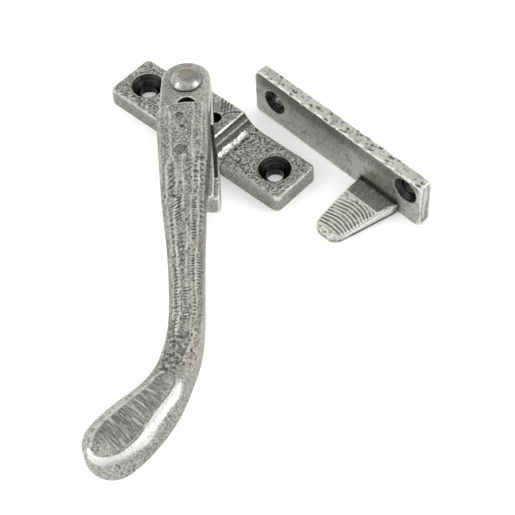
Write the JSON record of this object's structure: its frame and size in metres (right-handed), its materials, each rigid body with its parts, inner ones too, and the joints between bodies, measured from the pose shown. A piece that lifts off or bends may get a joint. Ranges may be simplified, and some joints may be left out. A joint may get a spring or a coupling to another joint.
{
  "type": "casement window fastener",
  "caption": "Hand-filed pewter-finish casement fastener: pear-ended handle on a riveted base plate, with a slotted night-vent nose, a locking grub screw and a loose hook plate.",
  "frame": {"origin": "pivot axis of the handle at the back face of the base plate", "axes": "+X along the base plate towards its longer end, where the handle closes, turned 6 degrees from +X towards +Y; +Y across the plate towards the keep; +Z out of the sash, along the pivot"},
  "size_m": [0.0979, 0.1221, 0.0231],
  "materials": {
    "plate_pewter": "antique pewter, tumbled and filed",
    "rivet_polished": "antique pewter, burnished",
    "washer_steel": "plain steel",
    "handle_pewter": "antique pewter, hammered and filed",
    "nose_pewter": "antique pewter",
    "nose_rivets": "antique pewter, dressed flush",
    "black_screw": "black oxide",
    "keep_pewter": "antique pewter, tumbled",
    "tongue_filed": "antique pewter, cross-filed"
  },
  "bodies": {
    "base": {"base_plate": "plate_pewter", "pivot_rivet": "rivet_polished", "friction_washer": "washer_steel"},
    "handle": {"handle": "handle_pewter", "nose": "nose_pewter", "nose_rivets": "nose_rivets"},
    "lock_screw": {"lock_screw": "black_screw"},
    "keep": {"keep_plate": "keep_pewter", "keep_tongue": "tongue_filed"}
  },
  "joints": [
    {"name": "handle_pivot", "type": "hinge", "parent": "base", "child": "handle", "pos_m": [0, 0, 0], "axis": [0, 0, 1], "range_deg": [-134, 52]},
    {"name": "lock_screw_travel", "type": "slide", "parent": "handle", "child": "lock_screw", "axis": [0, 0, 1], "range_m": [-0.0022, 0.0014]},
    {"name": "keep_lift", "type": "slide", "parent": "base", "child": "keep", "axis": [0, 0, 1], "range_m": [0, 0.03]}
  ]
}
